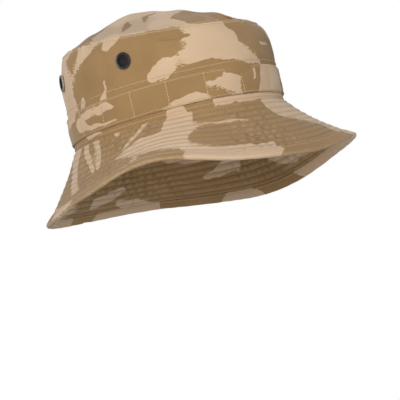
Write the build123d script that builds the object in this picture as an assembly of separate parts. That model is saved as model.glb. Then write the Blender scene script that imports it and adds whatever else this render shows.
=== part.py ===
from build123d import *
import math
import os

# Boonie hat, worn shape. Millimetres.
# Origin: centre of the head opening, in the plane of the seam that joins crown and brim.
# +Z is up through the crown, -Y is the front, -X is the wearer's right.
# Angles go round the hat from the front (0) over the wearer's left (90) to the back (180).

# ---- cloth and gaps ----
cloth = 0.8                 # one layer of crown cloth
ply_gap = 0.05              # air left between two layers that lie on each other
brim_cloth = 0.7            # upper and lower brim cloth
interlining_cloth = 0.9     # stiffener between them
binding_cloth = 0.6
sweatband_cloth = 1.2
tape_cloth = 0.6
label_cloth = 0.4

# ---- crown ----
crown_length = 198.0        # outside, front to back at the brim seam
crown_width = 168.0         # outside, side to side at the brim seam
straight_height = 57.0      # where the side starts to round over into the tip
seam_height = 79.5          # tip seam above the brim seam, on the centre line
crown_lean = 0.10           # the tip seam rises this much per mm towards the back
shoulder_turn = 75.0        # degrees the side has rounded over when it meets the tip
tip_inset = 9.5             # tip seam inside the side's outline
tip_rise = 28.0             # dome of the tip above its seam
tip_cap_share = 1.25        # full ellipsoid of the dome against its cap, in plan
side_seam_back = 22.0       # side seams lie this far behind the centre

# ---- band of loops, sweatband, tape, label ----
band_low = 7.0
band_high = 30.5            # the crown starts to lean above the band
band_cloth = 0.9
sweatband_low = 1.0
sweatband_high = 31.0
tape_gap = 0.25             # the tape bridges the hollow of the shoulder
tape_from_turn = 30.0       # tape inside the shoulder, in degrees of its turn
tape_to_turn = 68.0
label_width = 34.0
label_low = 7.0
label_high = 25.0

# ---- brim ----
brim_width = 67.0           # along the cloth, from the seam to the cut edge
brim_flare = 21.5           # degrees the brim flattens from its seam to its edge
brim_droops = (53, 39, 43, 68, 58, 47, 48, 54, 57, 47, 35, 49)  # degrees, every twelfth of the way round
binding_width = 9.5         # binding seen on each face of the brim
fold_line = 88.0            # the sides of the brim turn up about lines this far from the centre
fold_gap = 0.15             # each panel stops this far from the fold line

# ---- screened vents ----
vent_height = 57.5          # along the crown side, above the brim seam
vent_middle = 100.0         # a pair of vents is centred here, degrees from the front
vent_half_gap = 27.0        # each vent is this many degrees from its pair's middle
eyelet_radius = 7.3
barrel_radius = 5.2
barrel_wall = 0.5
barrel_gap = 0.25           # between the barrel and the hole in the cloth
flange_lift = 0.25          # the flange bears on the curved cloth near the barrel only
flange_thick = 1.1
washer_radius = 7.0
washer_thick = 0.6
washer_lift = 2.0           # washer below the outside of the cloth
barrel_end = 3.2            # barrel below the outside of the cloth
screen_thick = 0.4
screen_drop = 0.6

half_length = crown_length / 2
half_width = crown_width / 2
shoulder_rise = (seam_height - straight_height) / math.sin(math.radians(shoulder_turn))
shoulder_inset = tip_inset / (1 - math.cos(math.radians(shoulder_turn)))
brim_thick = 2 * brim_cloth + interlining_cloth + 2 * ply_gap
far = 400.0                 # size of a block that only cuts


# ---- crown surface ----
def side_level(height, lift=0.0, turn=0.0):
    """Plane and half sizes of the crown's outline at a height on its straight part,
    or at a turn of the shoulder; lift is measured outwards from the outer face."""
    turn_angle = math.radians(turn)
    z = height + shoulder_rise * math.sin(turn_angle)
    inset = shoulder_inset * (1 - math.cos(turn_angle))
    tilt = math.atan(crown_lean * max(z - band_high, 0) / (seam_height - band_high))
    z += lift * math.sin(turn_angle)
    plane = Plane(origin=(0, 0, z), x_dir=(1, 0, 0), z_dir=(0, -math.sin(tilt), math.cos(tilt)))
    half_x = half_width - inset + lift * math.cos(turn_angle)
    half_y = (half_length - inset + lift * math.cos(turn_angle)) / math.cos(tilt)
    return plane, half_x, half_y


def shoulder_outline(lift, turn):
    plane, half_x, half_y = side_level(straight_height, lift, turn)
    return plane * Ellipse(half_x, half_y)


def above(plane):
    return plane * Pos(0, 0, far / 2) * Box(far, far, far)


def straight_ring(low, high, outer, inner):
    """Ring of cloth round the straight part of the crown, between two heights and two lifts."""
    flat_ring = Ellipse(half_width + outer, half_length + outer) - Ellipse(half_width + inner, half_length + inner)
    tube = Pos(0, 0, -seam_height) * extrude(flat_ring, amount=3 * seam_height)
    return (tube & above(side_level(low)[0])) - above(side_level(high)[0])


def shoulder_ring(from_turn, to_turn, outer, inner):
    """Ring of cloth round the shoulder, between two of its turns and two lifts."""
    turns = [from_turn + (to_turn - from_turn) * n / 4 for n in range(5)]
    filled = loft([shoulder_outline(outer, turn) for turn in turns])
    hollow = loft([shoulder_outline(inner, turn) for turn in turns])
    return filled - hollow - extrude(shoulder_outline(inner, to_turn), amount=2 * (outer - inner))


def side_point(angle, height):
    """Point on the crown's outer face at a height, with the outward direction there."""
    past = max(height - straight_height, 0)
    turn = math.degrees(math.asin(past / shoulder_rise))
    plane, half_x, half_y = side_level(height - past, 0, turn)
    round_angle = math.radians(angle)
    local_x = half_x * math.sin(round_angle)
    local_y = -half_y * math.cos(round_angle)
    spot = plane.origin + plane.x_dir * local_x + plane.y_dir * local_y
    outward = plane.x_dir * (local_x / half_x**2) + plane.y_dir * (local_y / half_y**2)
    turned = outward.normalized() * math.cos(math.radians(turn)) + plane.z_dir * math.sin(math.radians(turn))
    return spot, turned


def crown_sides():
    """Crown side as a ring, cut at the side seams into its front and back panels."""
    side = straight_ring(0, straight_height, 0, -cloth) + shoulder_ring(0, shoulder_turn, 0, -cloth)
    for place in vent_places():
        side -= place * Cylinder(barrel_radius + barrel_gap, 8 * cloth)
    front_block = Pos(0, side_seam_back - far / 2, 0) * Box(far, far, far)
    return side & front_block, side - front_block


def tip_cap(lift):
    """Dome of the tip: the top of a flattened ellipsoid that stands on the tip seam."""
    plane, half_x, half_y = side_level(straight_height, 0, shoulder_turn)
    cut_share = math.sqrt(1 - 1 / tip_cap_share**2)
    half_z = tip_rise / (1 - cut_share)
    sizes = (half_x * tip_cap_share + lift, half_y * tip_cap_share + lift, half_z + lift)
    ball = scale(Sphere(1), by=sizes)
    return plane * Pos(0, 0, -half_z * cut_share) * ball


def crown_tip():
    plane = side_level(straight_height, 0, shoulder_turn)[0]
    above = plane * Pos(0, 0, ply_gap + far / 2) * Box(far, far, far)
    return (tip_cap(0) - tip_cap(-cloth)) & above


def tip_seam_tape():
    """Tape over the raw edges inside the shoulder, just under the tip seam."""
    outer = -cloth - tape_gap
    return shoulder_ring(tape_from_turn, tape_to_turn, outer, outer - tape_cloth)


def size_label():
    """Blank woven label on the inside of the sweatband, at the back."""
    outer = -cloth - sweatband_cloth - 2 * ply_gap
    ring = straight_ring(label_low, label_high, outer, outer - label_cloth)
    return ring & Pos(0, far / 2, 0) * Box(label_width, far, far)


# ---- brim surface ----
def droop(angle):
    """Degrees below level, halfway across the brim, run smoothly through the twelve stations."""
    count = len(brim_droops)
    place = (angle % 360) / 360 * count
    n = int(place)
    t = place - n
    before, start, end, after = [brim_droops[(n + k) % count] for k in (-1, 0, 1, 2)]
    slope_start = (end - before) / 2
    slope_end = (after - start) / 2
    return (start * (1 + 2 * t) * (1 - t)**2 + slope_start * t * (1 - t)**2
            + end * t * t * (3 - 2 * t) - slope_end * t * t * (1 - t))


def brim_middle(angle, run):
    """Point on the middle surface of the brim, run mm from the seam along the cloth."""
    round_angle = math.radians(angle)
    x = half_width * math.sin(round_angle)
    y = -half_length * math.cos(round_angle)
    outward = Vector(x / half_width**2, y / half_length**2, 0).normalized()
    flare = math.radians(brim_flare)
    start = math.radians(droop(angle)) + flare / 2
    now = start - flare * run / brim_width
    out = brim_width / flare * (math.sin(start) - math.sin(now))
    down = brim_width / flare * (math.cos(now) - math.cos(start))
    return Vector(x, y, -down) + outward * out


def brim_point(angle, run, lift):
    """Point lift mm above the middle surface, square to it."""
    round_step = brim_middle(angle + 0.1, run) - brim_middle(angle - 0.1, run)
    out_step = brim_middle(angle, run + 0.1) - brim_middle(angle, run - 0.1)
    up = out_step.cross(round_step).normalized()
    if up.Z < 0:
        up = up * -1
    return brim_middle(angle, run) + up * lift


def brim_layer(angles, runs, lift, thick):
    """A patch of one layer of the brim: its lower face, given its thickness."""
    steps = 24
    across = 4
    grid = []
    for i in range(steps + 1):
        angle = angles[0] + (angles[1] - angles[0]) * i / steps
        grid.append([brim_point(angle, runs[0] + (runs[1] - runs[0]) * j / across, lift - thick / 2)
                     for j in range(across + 1)])
    face = Face.make_surface_from_array_of_points(grid, tol=0.02, min_deg=3, max_deg=3)
    return Solid.thicken(face, thick, (0, 0, 1))


def edge_binding(angles):
    """Strip folded over the brim's edge, open towards the crown."""
    inner_thick = brim_thick + 2 * ply_gap
    outer_thick = inner_thick + 2 * binding_cloth
    whole = brim_layer(angles, (brim_width - binding_width, brim_width + ply_gap + binding_cloth), 0, outer_thick)
    slot = brim_layer(angles, (brim_width - 1.3 * binding_width, brim_width + ply_gap), 0, inner_thick)
    return whole - slot


def brim_panels():
    """Where each panel of the brim lies: the angles it spans, and the block that trims it."""
    inner = fold_line - fold_gap
    outer = fold_line + fold_gap
    front_block = Pos(0, side_seam_back - far / 2, 0) * Box(2 * inner, far, far)
    back_block = Pos(0, side_seam_back + far / 2, 0) * Box(2 * inner, far, far)
    left_block = Pos(outer + far / 2, 0, 0) * Box(far, far, far)
    right_block = Pos(-outer - far / 2, 0, 0) * Box(far, far, far)
    return {
        "front": ((-115, 115), front_block),
        "left": ((15, 165), left_block),
        "back": ((90, 270), back_block),
        "right": ((195, 345), right_block),
    }


def brim():
    """Each layer of the brim and its binding, panel by panel."""
    layer_step = (brim_cloth + interlining_cloth) / 2 + ply_gap
    layers = {
        "brim_upper": (layer_step, brim_cloth),
        "brim_interlining": (0, interlining_cloth),
        "brim_lower": (-layer_step, brim_cloth),
    }
    pieces = {}
    for side, (angles, block) in brim_panels().items():
        for name, (lift, thick) in layers.items():
            pieces[f"{name}_{side}"] = brim_layer(angles, (0, brim_width), lift, thick) & block
        pieces[f"brim_binding_{side}"] = edge_binding(angles) & block
    return pieces


# ---- vents ----
def vent_angles():
    """Angle of each vent: a front and a back one on each side."""
    return {
        "front_left": vent_middle - vent_half_gap,
        "back_left": vent_middle + vent_half_gap,
        "front_right": -(vent_middle - vent_half_gap),
        "back_right": -(vent_middle + vent_half_gap),
    }


def vent_places():
    places = []
    for angle in vent_angles().values():
        spot, outward = side_point(angle, vent_height)
        places.append(Location(Plane(origin=spot, z_dir=outward)))
    return places


def ring(outer_radius, inner_radius, low, high):
    tube = Cylinder(outer_radius, high - low) - Cylinder(inner_radius, 2 * (high - low))
    return Pos(0, 0, (low + high) / 2) * tube


def vent():
    """Eyelet with its barrel, screen inside the barrel and washer inside the crown."""
    bore = barrel_radius - barrel_wall
    flange = ring(eyelet_radius, bore, flange_lift, flange_lift + flange_thick)
    rims = flange.edges().filter_by(GeomType.CIRCLE).group_by(Axis.Z)[-1]
    flange = fillet(rims, flange_thick * 0.4)
    eyelet = flange + ring(barrel_radius, bore, -barrel_end, flange_lift)
    screen = Pos(0, 0, flange_lift - screen_drop) * Cylinder(bore, screen_thick)
    washer = ring(washer_radius, barrel_radius + ply_gap, -washer_lift - washer_thick, -washer_lift)
    return {"vent_eyelet": eyelet, "vent_screen": screen, "vent_washer": washer}


def build():
    side_front, side_back = crown_sides()
    inside = -cloth - ply_gap
    parts = {
        "crown_side_front": side_front,
        "crown_side_back": side_back,
        "crown_tip": crown_tip(),
        "tip_seam_tape": tip_seam_tape(),
        "foliage_loop_band": straight_ring(band_low, band_high, ply_gap + band_cloth, ply_gap),
        "sweatband": straight_ring(sweatband_low, sweatband_high, inside, inside - sweatband_cloth),
        "size_label": size_label(),
    }
    parts.update(brim())
    for corner, place in zip(vent_angles(), vent_places()):
        for name, piece in vent().items():
            parts[f"{name}_{corner}"] = place * piece
    return parts


os.makedirs("parts", exist_ok=True)
for node, piece in build().items():
    export_step(piece, f"parts/{node}.step")
    print(node, round(piece.volume, 1))
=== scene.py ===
# %% [markdown]
# A soft cotton bush hat, in the shape that a head gives it.
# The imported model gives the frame: its origin is the centre of the head opening, +Z is up
# through the crown, -Y is the front and -X is the wearer's right.
# Every piece of cloth here is cut, shaped and sewn in code around that frame.

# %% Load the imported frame
import math
import bmesh
import bpy
import numpy as np
from mathutils import Matrix, Vector


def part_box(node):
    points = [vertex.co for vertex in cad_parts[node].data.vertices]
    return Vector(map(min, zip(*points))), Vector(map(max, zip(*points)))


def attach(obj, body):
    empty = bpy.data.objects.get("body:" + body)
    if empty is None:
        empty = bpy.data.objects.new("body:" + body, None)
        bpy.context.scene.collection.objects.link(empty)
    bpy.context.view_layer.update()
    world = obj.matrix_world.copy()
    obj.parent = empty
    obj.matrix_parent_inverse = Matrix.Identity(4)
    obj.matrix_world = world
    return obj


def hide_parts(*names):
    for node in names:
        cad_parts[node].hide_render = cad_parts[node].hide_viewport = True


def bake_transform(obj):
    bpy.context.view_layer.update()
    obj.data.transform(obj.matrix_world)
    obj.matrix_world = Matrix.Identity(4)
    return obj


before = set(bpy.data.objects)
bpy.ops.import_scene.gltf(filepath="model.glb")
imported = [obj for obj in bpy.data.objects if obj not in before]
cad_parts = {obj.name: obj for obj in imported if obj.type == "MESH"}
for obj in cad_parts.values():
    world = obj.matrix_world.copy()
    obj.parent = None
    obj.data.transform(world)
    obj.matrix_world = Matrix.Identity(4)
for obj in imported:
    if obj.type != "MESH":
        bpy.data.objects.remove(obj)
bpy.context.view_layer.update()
MM = 0.001

# %% [markdown]
# The pattern of the hat, in millimetres. These are the sizes that the cloth was cut and sewn to.
# The crown's plan is read from the frame; the rest repeats the pattern's own named sizes.

# %% Sizes of the pattern
back_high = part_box("crown_side_back")[1]
front_low, front_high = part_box("crown_side_front")
HALF_WIDTH = (front_high.x - front_low.x) / 2 / MM
HALF_LENGTH = (back_high.y - front_low.y) / 2 / MM
STRAIGHT = 57.0          # height where the side starts to round over
SEAM_HEIGHT = 79.5       # tip seam above the brim seam
LEAN = 0.10              # the tip seam rises this much per mm towards the back
SHOULDER_TURN = math.radians(75)
TIP_INSET = 9.5
TIP_RISE = 26.6
TIP_BACK = 12.0          # the top of the dome lies this far behind the centre
SIDE_SEAM_BACK = 22.0
CLOTH = 0.8
BAND_LOW, BAND_HIGH = 7.0, 30.5
CLOTH_STEP = 1.5         # spacing of the points that carry the cloth
SHOULDER_RISE = (SEAM_HEIGHT - STRAIGHT) / math.sin(SHOULDER_TURN)
SHOULDER_INSET = TIP_INSET / (1 - math.cos(SHOULDER_TURN))
BRIM_WIDTH = 67.0
BRIM_FLARE = math.radians(21.5)
BRIM_DROOPS = (53, 39, 43, 68, 58, 47, 48, 54, 57, 47, 35, 49)
BINDING = 9.5            # width of the bound edge on each face
FIRST_ROW = 4.4          # the rows of quilting on the brim
ROW_PITCH = 6.2
VENT_HEIGHT = 57.5
VENT_HOLE = 5.4          # radius of the hole in the cloth, hidden by the eyelet
VENTS = {"front_left": 73, "back_left": 127, "front_right": -73, "back_right": -127}
print("crown", round(2 * HALF_WIDTH, 1), "x", round(2 * HALF_LENGTH, 1), "mm")

# %% [markdown]
# Cloth is measured along its seams, so every place on the hat is given as millimetres along the
# brim seam from the front, positive towards the wearer's right, and millimetres up the side or
# out along the brim. A table of the oval's arc length turns the first into an angle.

# %% Places on the crown and brim
def arc_table():
    angles = np.linspace(0, math.tau, 2881)
    speed = np.hypot(HALF_WIDTH * np.cos(angles), HALF_LENGTH * np.sin(angles))
    steps = (speed[1:] + speed[:-1]) / 2 * np.diff(angles)
    return angles, np.concatenate([[0], np.cumsum(steps)])


ARC_ANGLES, ARC_LENGTHS = arc_table()
GIRTH = ARC_LENGTHS[-1]


def angle_at(along):
    return np.interp(np.mod(-along, GIRTH), ARC_LENGTHS, ARC_ANGLES)


def along_at(angle):
    place = np.interp(np.mod(angle, math.tau), ARC_ANGLES, ARC_LENGTHS)
    return -place if place < GIRTH / 2 else GIRTH - place


def wrapped(along):
    """The same place, measured the short way round from the front."""
    return np.mod(along + GIRTH / 2, GIRTH) - GIRTH / 2


def crown_point(along, height):
    """Point on the outside of the crown; past STRAIGHT the side rounds over to the tip seam."""
    angle = angle_at(along)
    past = np.clip((height - STRAIGHT) / SHOULDER_RISE, 0, math.sin(SHOULDER_TURN))
    inset = SHOULDER_INSET * (1 - np.sqrt(1 - past**2))
    x = (HALF_WIDTH - inset) * np.sin(angle)
    y = -(HALF_LENGTH - inset) * np.cos(angle)
    lean = LEAN * np.clip(height - BAND_HIGH, 0, None) / (SEAM_HEIGHT - BAND_HIGH)
    return np.stack([x, y, height + lean * y], -1)


def smooth_droop(angle):
    """The brim's droop in radians, run smoothly through its twelve stations."""
    count = len(BRIM_DROOPS)
    stations = np.array(BRIM_DROOPS, float)
    place = np.mod(angle, math.tau) / math.tau * count
    n = np.floor(place).astype(int)
    t = place - n
    before, start, end, after = [stations[(n + k) % count] for k in (-1, 0, 1, 2)]
    value = start * (1 + 2 * t) * (1 - t)**2 + (end - before) / 2 * t * (1 - t)**2
    value += end * t * t * (3 - 2 * t) - (after - start) / 2 * t * t * (1 - t)
    return np.radians(value)


def brim_point(along, run):
    """Point on the middle surface of the brim, run mm out from the seam along the cloth."""
    angle = angle_at(along)
    x = HALF_WIDTH * np.sin(angle)
    y = -HALF_LENGTH * np.cos(angle)
    outward = np.stack([x / HALF_WIDTH**2, y / HALF_LENGTH**2], -1)
    outward /= np.linalg.norm(outward, axis=-1, keepdims=True)
    first = smooth_droop(angle) + BRIM_FLARE / 2
    now = first - BRIM_FLARE * run / BRIM_WIDTH
    out = BRIM_WIDTH / BRIM_FLARE * (np.sin(first) - np.sin(now))
    down = BRIM_WIDTH / BRIM_FLARE * (np.cos(now) - np.cos(first))
    return np.stack([x + outward[..., 0] * out, y + outward[..., 1] * out, -down], -1)


print("girth at the brim seam", round(GIRTH, 1), "mm")

# %% [markdown]
# Worn cotton is never even. Slow and fast waves in many directions, added up, give the slouch,
# the puckers and the wobble of a printed edge. Each call has its own seed, so the hat is the
# same hat every time.

# %% Uneven cloth
def uneven(x, y, size, seed, waves=10):
    """Smooth unevenness of about -1 to 1; size is its usual wavelength in mm."""
    chance = np.random.default_rng(seed)
    total = np.zeros(np.broadcast(x, y).shape)
    for _ in range(waves):
        heading, phase = chance.uniform(0, math.tau, 2)
        length = size * chance.uniform(0.7, 1.5)
        total += np.sin((x * math.cos(heading) + y * math.sin(heading)) * math.tau / length + phase)
    return total / math.sqrt(waves)


def ease(low, high, value):
    t = np.clip((value - low) / (high - low), 0, 1)
    return t * t * (3 - 2 * t)


sample = uneven(np.arange(600.0), 0.0, 30, 1)
print("a 30 mm unevenness runs from", round(sample.min(), 2), "to", round(sample.max(), 2))

# %% [markdown]
# The print is two colours: sand shapes laid over brown, and a few brown ones over those, with
# edges that break up where the brush ran dry. A shape is either a brush stroke, a line with a
# radius at each point, or a patch, its outline; both are in the cloth's own millimetres. The
# distance to the nearest edge is stored on the mesh, positive in brown, so that the material
# can draw a sharp edge at any zoom.

# %% The printed shapes
SAND, BROWN = -1, 1


def edge_distance(x, y, ax, ay, bx, by):
    """Distance to the line from a to b, and how far along it the nearest point is."""
    dx, dy = bx - ax, by - ay
    t = np.clip(((x - ax) * dx + (y - ay) * dy) / (dx * dx + dy * dy), 0, 1)
    return np.hypot(x - ax - t * dx, y - ay - t * dy), t


def stroke_distance(x, y, points):
    """Distance to a stroke's edge, negative inside it."""
    best = np.full(x.shape, 1e3)
    for (ax, ay, ar), (bx, by, br) in zip(points, points[1:]):
        distance, t = edge_distance(x, y, ax, ay, bx, by)
        best = np.minimum(best, distance - (ar + (br - ar) * t))
    return best


def patch_distance(x, y, points):
    """Distance to a patch's edge, negative inside it."""
    best = np.full(x.shape, 1e3)
    inside = np.zeros(x.shape, bool)
    for (ax, ay), (bx, by) in zip(points, points[1:] + points[:1]):
        best = np.minimum(best, edge_distance(x, y, ax, ay, bx, by)[0])
        if ay != by:
            crossed = (ay > y) != (by > y)
            inside ^= crossed & (x < (bx - ax) * (y - ay) / (by - ay) + ax)
    return np.where(inside, -best, best)


def print_on(x, y, shapes, seed):
    """Lay shapes in order on brown cloth; above 0 is brown, below 0 is sand."""
    x, y = np.broadcast_arrays(x, y)
    x_now = x + 0.8 * uneven(x, y, 20, seed) + 0.4 * uneven(x, y, 6, seed + 1)
    y_now = y + 0.8 * uneven(x, y, 20, seed + 2) + 0.4 * uneven(x, y, 6, seed + 3)
    field = np.full(x.shape, 25.0)
    for colour, *points in shapes:
        measure = patch_distance if len(points[0]) == 2 else stroke_distance
        edge = measure(x_now, y_now, points)
        field = np.minimum(field, edge) if colour == SAND else np.maximum(field, -edge)
    return field


def dry_on(x, y, spots):
    """Where the brush ran dry: 1 at the middle of a spot, which is (x, y, radius)."""
    x, y = np.broadcast_arrays(x, y)
    dry = np.zeros(x.shape)
    for spot_x, spot_y, radius in spots:
        dry = np.maximum(dry, ease(1.25, 0.75, np.hypot(x - spot_x, y - spot_y) / radius))
    return dry


def loose_strokes(low, high, bottom, top, count, seed):
    """Strokes for the parts that have none listed, in the same sizes and slants."""
    chance = np.random.default_rng(seed)
    strokes = []
    for n in range(count):
        x = low + (high - low) * (n + chance.uniform(0.1, 0.9)) / count
        y = chance.uniform(bottom, top)
        slant = math.radians(chance.uniform(-50, 50))
        length = chance.uniform(22, 46)
        wide = chance.uniform(5, 13)
        dx, dy = length / 2 * math.cos(slant), length / 2 * math.sin(slant)
        bend = chance.uniform(-9, 9)
        colour = SAND if n % 3 != 2 else BROWN
        strokes.append((colour, (x - dx, y - dy, wide * 0.35), (x + bend, y + bend, wide),
                        (x + dx, y + dy, wide * chance.uniform(0.3, 0.8))))
    return strokes


print("strokes made for an unseen part:", len(loose_strokes(0, 100, 0, 60, 5, 1)))

# %% [markdown]
# The shapes of each piece, in its own millimetres: (along, height) or (along, run out), with a
# third number, the radius, in a stroke. The spots after them are where the brush ran dry.

# %% Shapes on each piece
SIDE_SHAPES = [
    (SAND, (17, 82), (60, 82), (58, 72), (62, 66), (60, 58), (66, 54), (73, 50), (83, 51), (91, 47), (96, 42),
     (97, 35), (93, 31), (80, 31), (74, 37), (70, 42), (68, 46), (66, 42), (57, 41), (46, 42.5), (36, 41),
     (24, 37), (14, 34), (6, 32), (-9, 29), (-4, 36), (2, 44), (7, 50), (13, 57), (15, 66), (18, 75)),
    (SAND, (-50, 0), (6, 0), (5, 8), (-2, 22), (-7, 31), (-16, 30), (-28, 27), (-40, 20), (-52, 14)),
    (SAND, (-56, 76), (-40, 79), (-30, 70), (-34, 62), (-46, 60), (-58, 66)),
    (SAND, (-28, 54, 1.6), (-17, 53, 2.2), (-12, 54, 0.6)),
    (SAND, (4, 0), (48, 0), (48, 7), (4, 7)),
    (SAND, (70, 0), (89, 0), (88, 7), (72, 7)),
    (SAND, (116, 82), (122, 73), (129, 69.5), (136, 72), (137, 82)),
    (SAND, (142, 82), (150, 72), (160, 66), (170, 61), (178, 60), (172, 68), (170, 76), (176, 82)),
    (SAND, (138, 46, 0.9), (139, 38, 1.3), (142, 31, 3.4)),
    (SAND, (171, 41), (167, 34), (172, 29), (179, 30), (176, 36)),
    (SAND, (186, 82), (189, 72), (184, 63), (177, 58), (181, 51), (187, 44), (184, 36), (181, 29), (187, 22),
     (184, 14), (160, 9), (150, 4), (176, 5), (192, 10), (202, 22), (216, 20), (238, 22), (250, 29), (246, 37),
     (252, 47), (262, 55), (266, 64), (262, 73), (250, 82)),
    (SAND, (226, 0), (232, 9), (250, 13), (262, 18), (268, 8), (262, 0)),
    (SAND, (270, 30), (266, 42), (271, 52), (276, 46), (288, 40), (288, 32)),
]
SIDE_SHAPES += loose_strokes(-288, -62, 8, 78, 12, 11)
BAND_SHAPES = [
    (SAND, (-50, 0), (6, 0), (5, 8), (-2, 22), (-7, 34), (-24, 34), (-50, 34)),
    (SAND, (3, 27, 0.8), (7, 20, 1.5), (9, 17, 0.5)),
    (SAND, (17, 34), (19, 22), (22, 7), (28, 6.5), (33, 11), (40, 15), (47, 17), (51, 20), (44, 22.5), (34, 26),
     (26, 30), (25, 34)),
    (SAND, (49, 9), (54, 14), (60, 16.5), (72, 13.5), (84, 10.5), (92, 6), (70, 6.5), (50, 6)),
    (SAND, (131, 23), (140, 20.5), (158, 20.5), (172, 20), (179, 24), (172, 28), (154, 28), (140, 27)),
    (SAND, (133, 11, 0.6), (150, 10.5, 1.3), (168, 13, 2.2), (182, 18, 6)),
    (SAND, (184, 34), (188, 24), (202, 22), (216, 20), (238, 22), (252, 29), (250, 34)),
    (SAND, (228, 0), (234, 10), (252, 14), (266, 22), (270, 10), (262, 0)),
    (SAND, (264, 34), (268, 28), (288, 26), (288, 34)),
]
BAND_SHAPES += loose_strokes(-288, -58, 8, 30, 12, 23)
BRIM_SHAPES = [
    (SAND, (5, -2), (6, 10), (-4, 22), (-20, 32), (-29, 42), (-29, 56), (-40, 68), (-70, 68), (-60, 40), (-44, 18),
     (-30, -2)),
    (SAND, (28, 19.5, 0.8), (42, 18.6, 1.9), (58, 17.6, 1.4), (70, 18, 2.5)),
    (SAND, (68, -2), (68, 14), (61, 17), (65, 22), (71, 28), (74, 36), (70, 44), (62, 50), (21, 52), (24, 60),
     (32, 70), (75, 70), (75, 60), (78, 52.5), (100, 48), (108, 43), (118, 36), (128, 32), (122, 26), (110, 20),
     (100, 20), (94, 19), (90, 10), (86, -2)),
    (BROWN, (88, -2, 2.5), (94, 9, 2.4), (100, 17, 1.2)),
    (SAND, (104, -2, 1.6), (112, 10, 2.4), (124, 25, 1.2)),
    (SAND, (108, 40, 1.6), (106, 52, 1.4), (108, 62, 1.4)),
    (SAND, (132, -2), (139, -2), (137, 4), (134, 6), (133, 3)),
    (SAND, (158, -2), (166, -2), (161, 10), (154, 24), (147, 36), (144, 32), (150, 16)),
    (SAND, (176, -2), (185, -2), (178, 10), (166, 22), (152, 37), (150, 34), (160, 20), (169, 9)),
    (SAND, (190, -2), (246, -2), (240, 12), (222, 8), (206, 12), (198, 24), (186, 38), (170, 52), (160, 52),
     (174, 38), (186, 22), (189, 10)),
    (SAND, (150, 68), (158, 62), (184, 56), (214, 52), (250, 47), (276, 42), (288, 46), (288, 56), (250, 60),
     (214, 64), (184, 70)),
    (SAND, (252, -2), (259, 14), (264, 28), (272, 40), (276, 26), (268, 8), (262, -2)),
]
BRIM_SHAPES += loose_strokes(-288, -84, 4, 60, 13, 37)
BINDING_SHAPES = [
    (SAND, (-90, 5, 9), (-44, 5, 10)),
    (SAND, (21, -2), (20, 6), (26, 14), (75, 14), (75, -2)),
    (SAND, (108, 5, 1.6), (112, 4, 0.8)),
    (SAND, (160, 8, 3), (196, 5, 6)),
    (SAND, (236, 5, 9), (268, 5, 8)),
]
BINDING_SHAPES += loose_strokes(-288, -100, 0, 10, 7, 41)
TIP_SHAPES = [
    (SAND, (-6, 62), (14, 62), (26, 50), (31, 34), (40, 22), (50, 12), (60, 6), (68, 20), (80, 14), (80, -30),
     (58, -30), (56, -14), (44, 2), (33, 6), (26, 0), (16, -16), (14, -36), (2, -48), (-12, -44), (-24, -46),
     (-36, -52), (-40, -84), (-80, -84), (-80, 10), (-58, 26), (-30, 32), (-14, 50)),
    (SAND, (-66, 44), (-34, 74), (-20, 92), (-60, 92), (-80, 60)),
    (BROWN, (-6, 14), (-2, 24), (14, 28), (8, 16), (0, 8)),
    (BROWN, (-62, -16), (-52, -7), (-38, -1), (-44, -12)),
    (BROWN, (-42, -26, 1.2), (-30, -17, 2.4), (-18, -20, 1.2)),
    (SAND, (24, -52, 3), (36, -64, 5), (34, -84, 7)),
]
SIDE_DRY = [(61, 60, 11), (64, 76, 9), (86, 34, 5), (4, 46, 9), (180, 60, 12)]
BAND_DRY = [(33, 10, 11), (44, 13, 8), (92, 8, 8)]
BRIM_DRY = [(112, 38, 16), (92, 48, 12), (66, 50, 12), (66, 20, 7), (-20, 30, 14)]
print("shapes:", len(SIDE_SHAPES + BAND_SHAPES + BRIM_SHAPES + BINDING_SHAPES + TIP_SHAPES))

# %% [markdown]
# Every material is built with nodes. One small function adds a node, sets it and links it.
# Colours are picked as sRGB hex values, as on a colour chart, and turned to linear light here.

# %% Node and colour helpers
def linear(hex_colour):
    parts = [int(hex_colour[n:n + 2], 16) / 255 for n in (1, 3, 5)]
    return tuple(p / 12.92 if p <= 0.04045 else ((p + 0.055) / 1.055)**2.4 for p in parts) + (1.0,)


def add(tree, kind, inputs=(), **settings):
    """Add one node. settings are its own properties; inputs are values or sockets to link."""
    node = tree.nodes.new(kind)
    for key, value in settings.items():
        setattr(node, key, value)
    for key, value in dict(inputs).items():
        if isinstance(value, bpy.types.NodeSocket):
            tree.links.new(value, node.inputs[key])
        else:
            node.inputs[key].default_value = value
    return node


def new_material(name, **surface):
    """A material with its Principled surface; surface values go on the shader's own sockets."""
    material = bpy.data.materials.new(name)
    material.use_nodes = True
    tree = material.node_tree
    shader = tree.nodes["Principled BSDF"]
    for key, value in surface.items():
        shader.inputs[key.replace("_", " ")].default_value = value
    return material, tree, shader


def cloth_mm(tree):
    """The cloth's own coordinates in mm, from the mesh's uv map, which is in metres."""
    uv = add(tree, "ShaderNodeUVMap", uv_map="cloth")
    scaled = add(tree, "ShaderNodeVectorMath", {0: uv.outputs[0], 3: 1000.0}, operation="SCALE")
    return scaled.outputs[0]


def noise(tree, place, size, detail=2.0):
    """Noise of 0 to 1 whose features are about size mm."""
    texture = add(tree, "ShaderNodeTexNoise", {"Vector": place, "Scale": 1 / size, "Detail": detail})
    return texture.outputs["Fac"]


def calculate(tree, operation, a, b=0.0, c=0.0):
    return add(tree, "ShaderNodeMath", {0: a, 1: b, 2: c}, operation=operation).outputs[0]


def blend_colours(tree, share, a, b, kind="MIX"):
    mix = add(tree, "ShaderNodeMix", {0: share, 6: a, 7: b}, data_type="RGBA", blend_type=kind)
    return mix.outputs[2]


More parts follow.
